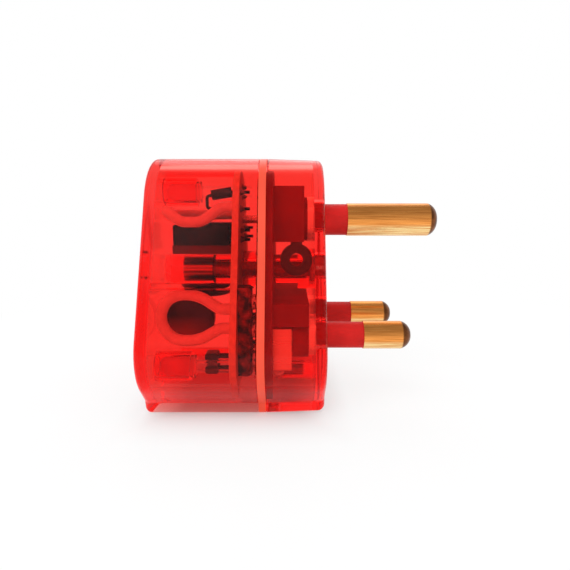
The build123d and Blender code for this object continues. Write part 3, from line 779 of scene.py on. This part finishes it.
class PLUG_OT_pins(bpy.types.Operator):
    """Give the pins their brushed brass and their sleeves satin red plastic"""

    bl_idname = "plug.pins"
    bl_label = "Pins and sleeves"

    def execute(self, context):
        settings = context.scene.plug_pins
        for pin in PINS:
            wear(turned_brass(pin, settings), pin)
        wear(glowing_sleeve("sleeve_red", settings), *SLEEVES)
        wear(knurled_brass("insert_brass", settings.brass), "cover_insert")
        return {"FINISHED"}


class PLUG_OT_carrier(bpy.types.Operator):
    """Give the pin carrier and the cord grip their dark red plastic"""

    bl_idname = "plug.carrier"
    bl_label = "Carrier and grip"

    def execute(self, context):
        settings = context.scene.plug_inside
        carrier = moulded("carrier_red", settings.carrier, roughness=0.55, gloss=0.2)
        wear(carrier, "pin_carrier", "cord_grip")
        return {"FINISHED"}


class PLUG_OT_metalwork(bpy.types.Operator):
    """Give the screws, the links, the tag and the solder their metal finishes"""

    bl_idname = "plug.metalwork"
    bl_label = "Screws, links and solder"

    def execute(self, context):
        settings = context.scene.plug_metal
        wear(plated("zinc_steel", settings.zinc, roughness=0.5, metal=0.35), *SCREWS)
        wear(plated("tinned_copper", settings.tinned, roughness=0.26), *LINKS)
        wear(plated("tarnished_tin", settings.tag, roughness=0.5), "earth_tag")
        wear(plated("solder", settings.solder, roughness=0.35), "solder_joints")
        return {"FINISHED"}


class PLUG_OT_cover_screw_thread(bpy.types.Operator):
    """Wind the thread that shows on the cover screw through its clear pillar"""

    bl_idname = "plug.cover_screw_thread"
    bl_label = "Cover screw thread"

    def execute(self, context):
        settings = context.scene.plug_thread
        low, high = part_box("cover_screw")
        insert_low, insert_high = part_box("cover_insert")
        middle = (low + high) / 2
        points = thread_ridge(
            x_start=low.x + THREAD_START,
            x_end=low.x + settings.length,
            y=middle.y,
            z=middle.z,
            radius=(insert_high.z - insert_low.z) / 2 - INSERT_WALL,
            settings=settings,
        )
        piece = grid_mesh("cover_screw_thread", points, bpy.data.materials["zinc_steel"])
        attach(piece, "root")
        return {"FINISHED"}


class PLUG_OT_board(bpy.types.Operator):
    """Give the circuit board its laminate, and the parts on it their finishes"""

    bl_idname = "plug.board"
    bl_label = "Circuit board and its parts"

    def execute(self, context):
        settings = context.scene.plug_inside
        wear(laminate("board_tan", settings.board, settings.track), "circuit_board")
        wear(moulded("case_black", settings.case, roughness=0.8, gloss=0.0), "filter_case")
        wear(moulded("tray_red", settings.tray, roughness=0.6, gloss=0.15), "filter_tray")
        strip = moulded(
            "strip_dark", settings.strip, roughness=0.6, gloss=0.15, contrast=0.08, lumps=500.0
        )
        wear(strip, "terminal_strip")
        wear(moulded("diode_black", settings.case, roughness=0.5, gloss=0.2), "diode")
        upright = "upright_varistor"
        wear(reflecting_dip("disc_blue", settings.varistor, settings.disc_reflection, upright), upright)
        wear(dipped("disc_blue_flat", settings.varistor), "flat_varistor")
        bead = dipped("bead_brown", settings.bead)
        wear(bead, "upper_bead_capacitor", "lower_bead_capacitor")
        return {"FINISHED"}


class PLUG_OT_wires(bpy.types.Operator):
    """Give the two wires their pale insulation and the lamps their clear lenses"""

    bl_idname = "plug.wires"
    bl_label = "Wires and lamps"

    def execute(self, context):
        settings = context.scene.plug_inside
        wear(soft_insulation("wire_white", settings.wire), "upper_wire", "lower_wire")
        wear(cast_lens("lamp_clear", settings.lamp), "upper_lamp", "lower_lamp")
        return {"FINISHED"}


def dress_world(sky):
    """Plain white behind the object, plain light from all round, and a dome for reflections.

    Camera and transmission rays see plain white. Glossy rays see the dome, which is white at the
    level behind the object, grey on the near side and dark overhead. All other rays see an even
    white at the sky's strength.
    """
    world = bpy.context.scene.world or bpy.data.worlds.new("Studio")
    bpy.context.scene.world = world
    world.use_nodes = True
    nodes = world.node_tree.nodes
    nodes.clear()
    place = nodes.new("ShaderNodeTexCoord")
    split = nodes.new("ShaderNodeSeparateXYZ")
    fill(split, "Vector", place.outputs["Generated"])
    level = span(world, split.outputs["Y"], -DOME_TURN, DOME_TURN, DOME_NEAR, 1.0)
    dome = blend_number(world, span(world, split.outputs["Z"], *DOME_RISE), level, DOME_TOP)
    rays = nodes.new("ShaderNodeLightPath").outputs
    behind = join(world, "MAXIMUM", rays["Is Camera Ray"], rays["Is Transmission Ray"])
    unseen = blend_number(world, rays["Is Glossy Ray"], sky, dome)
    light = nodes.new("ShaderNodeBackground")
    fill(light, "Color", WHITE)
    fill(light, "Strength", blend_number(world, behind, unseen, 1.0))
    output = nodes.new("ShaderNodeOutputWorld")
    fill(output, "Surface", light.outputs["Background"])


def pale_floor(fade, low, high):
    """A matt white floor that turns to plain white away from the object, so no horizon shows.

    It is lifted towards white where it is seen, but less under the housing, whose low and high
    corners are given.
    """
    material, shader = new_finish("floor")
    nodes = material.node_tree.nodes
    dust = mottle(material, lumps=30.0, detail=2.0)
    paint(material, shader, dust, (0.3, shade(WHITE, 0.90)), (0.7, shade(WHITE, 0.93)))
    fill(shader, "Roughness", 1.0)
    fill(shader, "Specular IOR Level", 0.0)
    away = nodes.new("ShaderNodeVectorMath")
    away.operation = "LENGTH"
    fill(away, 0, coordinates(material))
    far = span(material, away.outputs["Value"], FADE_START * fade, fade)
    rays = nodes.new("ShaderNodeLightPath").outputs
    seen = join(material, "MAXIMUM", rays["Is Camera Ray"], rays["Is Glossy Ray"])
    seen = join(material, "MAXIMUM", seen, rays["Is Transmission Ray"])
    middle, half = (low + high) / 2, (high - low) / 2
    reach = []
    for axis, name in enumerate("XY"):
        offset = join(material, "SUBTRACT", along(material, name), middle[axis])
        reach.append(join(material, "DIVIDE", join(material, "ABSOLUTE", offset), half[axis]))
    outside = join(material, "MAXIMUM", *reach)
    lift = span(material, outside, *SHADOW_EDGE, SHADOW_LIFT, FLOOR_LIFT)
    lift = join(material, "MULTIPLY", seen, lift)
    white = nodes.new("ShaderNodeEmission")
    blend = nodes.new("ShaderNodeMixShader")
    fill(blend, "Fac", join(material, "MAXIMUM", far, lift))
    fill(blend, 1, shader.outputs["BSDF"])
    fill(blend, 2, white.outputs["Emission"])
    fill(nodes["Material Output"], "Surface", blend.outputs["Shader"])
    return material


def soft_lamp(name, power, target, size, azimuth, elevation, distance):
    """An area lamp that looks at the target from that azimuth, elevation and distance."""
    data = bpy.data.lights.new(name, "AREA")
    data.energy = power
    data.shape = "DISK"
    data.size = size
    lamp = bpy.data.objects.new(name, data)
    bpy.context.scene.collection.objects.link(lamp)
    a, e = radians(azimuth), radians(elevation)
    away = Vector((sin(a) * cos(e), -cos(a) * cos(e), sin(e)))
    lamp.location = target + away * distance
    lamp.rotation_euler = away.to_track_quat("Z", "Y").to_euler()
    return lamp


class PLUG_OT_stage(bpy.types.Operator):
    """Set up the floor, the world, the lamps and the camera"""

    bl_idname = "plug.stage"
    bl_label = "Stage"

    def execute(self, context):
        settings = context.scene.plug_stage
        context.scene.view_settings.view_transform = "Standard"
        low, high = (Vector(corner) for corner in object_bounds())
        middle = (low + high) / 2
        half = settings.floor_size / 2
        mesh = bpy.data.meshes.new("floor")
        corners = np.array([(-half, -half), (half, -half), (half, half), (-half, half)])
        points = np.column_stack([corners, np.full(4, low.z)])
        mesh.from_pydata(points.tolist(), [], [(0, 1, 2, 3)])
        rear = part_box("rear_cover")[0]
        front = Vector((0.0, -rear.y, 0.0))
        mesh.materials.append(pale_floor(settings.floor_fade, rear, front))
        floor = bpy.data.objects.new("floor", mesh)
        context.scene.collection.objects.link(floor)
        floor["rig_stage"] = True
        dress_world(settings.sky)
        main_lamp = soft_lamp("main_lamp", settings.lamp_power, middle, **MAIN_LAMP)
        main_lamp.visible_glossy = False
        soft_lamp("back_lamp", settings.lamp_power * BACK_LAMP_SHARE, middle, **BACK_LAMP)
        cycles = context.scene.cycles
        cycles.max_bounces = 24
        cycles.diffuse_bounces = 8
        cycles.transmission_bounces = 24
        cycles.glossy_bounces = 12
        data = bpy.data.cameras.new("Camera")
        data.lens = settings.lens
        data.sensor_width = 36.0
        data.clip_start = 5 * MM
        camera = bpy.data.objects.new("Camera", data)
        context.scene.collection.objects.link(camera)
        tilt = settings.camera_elevation
        away = Vector((0.0, -cos(tilt), sin(tilt)))
        camera.location = Vector(CAMERA_AIM) + settings.camera_distance * away
        camera.rotation_euler = (pi / 2 - tilt, 0.0, 0.0)
        context.scene.camera = camera
        return {"FINISHED"}


# Panel and registration


STEPS = (
    "housing",
    "pins",
    "carrier",
    "metalwork",
    "cover_screw_thread",
    "board",
    "wires",
    "stage",
)


class PLUG_PT_panel(bpy.types.Panel):
    """The plug's pieces and the stage, in the order in which they are made"""

    bl_idname = "PLUG_PT_panel"
    bl_label = "Plug"
    bl_space_type = "VIEW_3D"
    bl_region_type = "UI"
    bl_category = "Plug"

    def draw(self, context):
        for step in STEPS:
            self.layout.operator("plug." + step)
        for group in SETTINGS:
            box = self.layout.box()
            values = getattr(context.scene, group)
            for name in values.__annotations__:
                box.prop(values, name)


CLASSES = (
    *SETTINGS.values(),
    PLUG_OT_housing,
    PLUG_OT_pins,
    PLUG_OT_carrier,
    PLUG_OT_metalwork,
    PLUG_OT_cover_screw_thread,
    PLUG_OT_board,
    PLUG_OT_wires,
    PLUG_OT_stage,
    PLUG_PT_panel,
)


def register():
    for cls in CLASSES:
        bpy.utils.register_class(cls)
    for name, group in SETTINGS.items():
        setattr(bpy.types.Scene, name, PointerProperty(type=group))


def unregister():
    for name in SETTINGS:
        delattr(bpy.types.Scene, name)
    for cls in reversed(CLASSES):
        bpy.utils.unregister_class(cls)


def clear_defaults():
    """Removes the objects of a new file that aren't part of the frame."""
    for name in ("Cube", "Light", "Camera"):
        thing = bpy.data.objects.get(name)
        if thing is not None and "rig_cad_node" not in thing:
            bpy.data.objects.remove(thing, do_unlink=True)


def main():
    clear_defaults()
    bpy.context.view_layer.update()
    register()
    for step in STEPS:
        getattr(bpy.ops.plug, step)()


if __name__ == "__main__":
    main()
